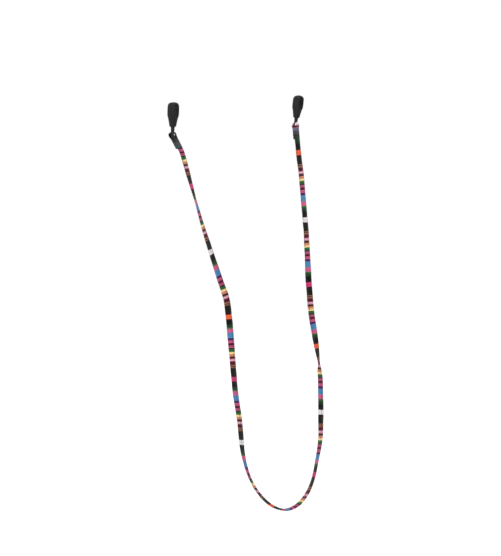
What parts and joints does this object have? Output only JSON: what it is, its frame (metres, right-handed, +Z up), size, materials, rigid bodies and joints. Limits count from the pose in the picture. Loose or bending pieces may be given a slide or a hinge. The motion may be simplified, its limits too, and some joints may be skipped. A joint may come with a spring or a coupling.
{
  "type": "eyeglass retainer strap",
  "caption": "Eyeglass retainer strap: a narrow folded band of cross-striped woven cloth hung between moulded rubber temple loops that swing on crossbar pins.",
  "frame": {"origin": "centre of the left temple slot", "axes": "+X from the left temple slot to the right one, +Y the way the wearer faces and along both slots, +Z up; the strap hangs down from the two loops"},
  "size_m": [0.1494, 0.0131, 0.3488],
  "materials": {
    "striped_cloth": "cross-striped cotton, plain weave",
    "seam_thread": "twisted polyester sewing thread",
    "loop_rubber": "soft satin moulded rubber",
    "pin_steel": "drawn stainless wire"
  },
  "bodies": {
    "strap": {"strap_band": "striped_cloth", "seam_needle_thread": "seam_thread", "seam_bobbin_thread": "seam_thread", "left_strap_end": "striped_cloth", "right_strap_end": "striped_cloth", "left_tack_thread": "seam_thread", "right_tack_thread": "seam_thread"},
    "left_loop": {"left_temple_loop": "loop_rubber", "left_crossbar_pin": "pin_steel"},
    "right_loop": {"right_temple_loop": "loop_rubber", "right_crossbar_pin": "pin_steel"}
  },
  "joints": [
    {"name": "left_loop_swing", "type": "hinge", "parent": "strap", "child": "left_loop", "pos_m": [-0.00282, 0, -0.01778], "axis": [0, 1, 0], "range_deg": [-127, 53]},
    {"name": "right_loop_swing", "type": "hinge", "parent": "strap", "child": "right_loop", "pos_m": [0.13404, 0, -0.0138], "axis": [0, 1, 0], "range_deg": [-106, 74]}
  ]
}
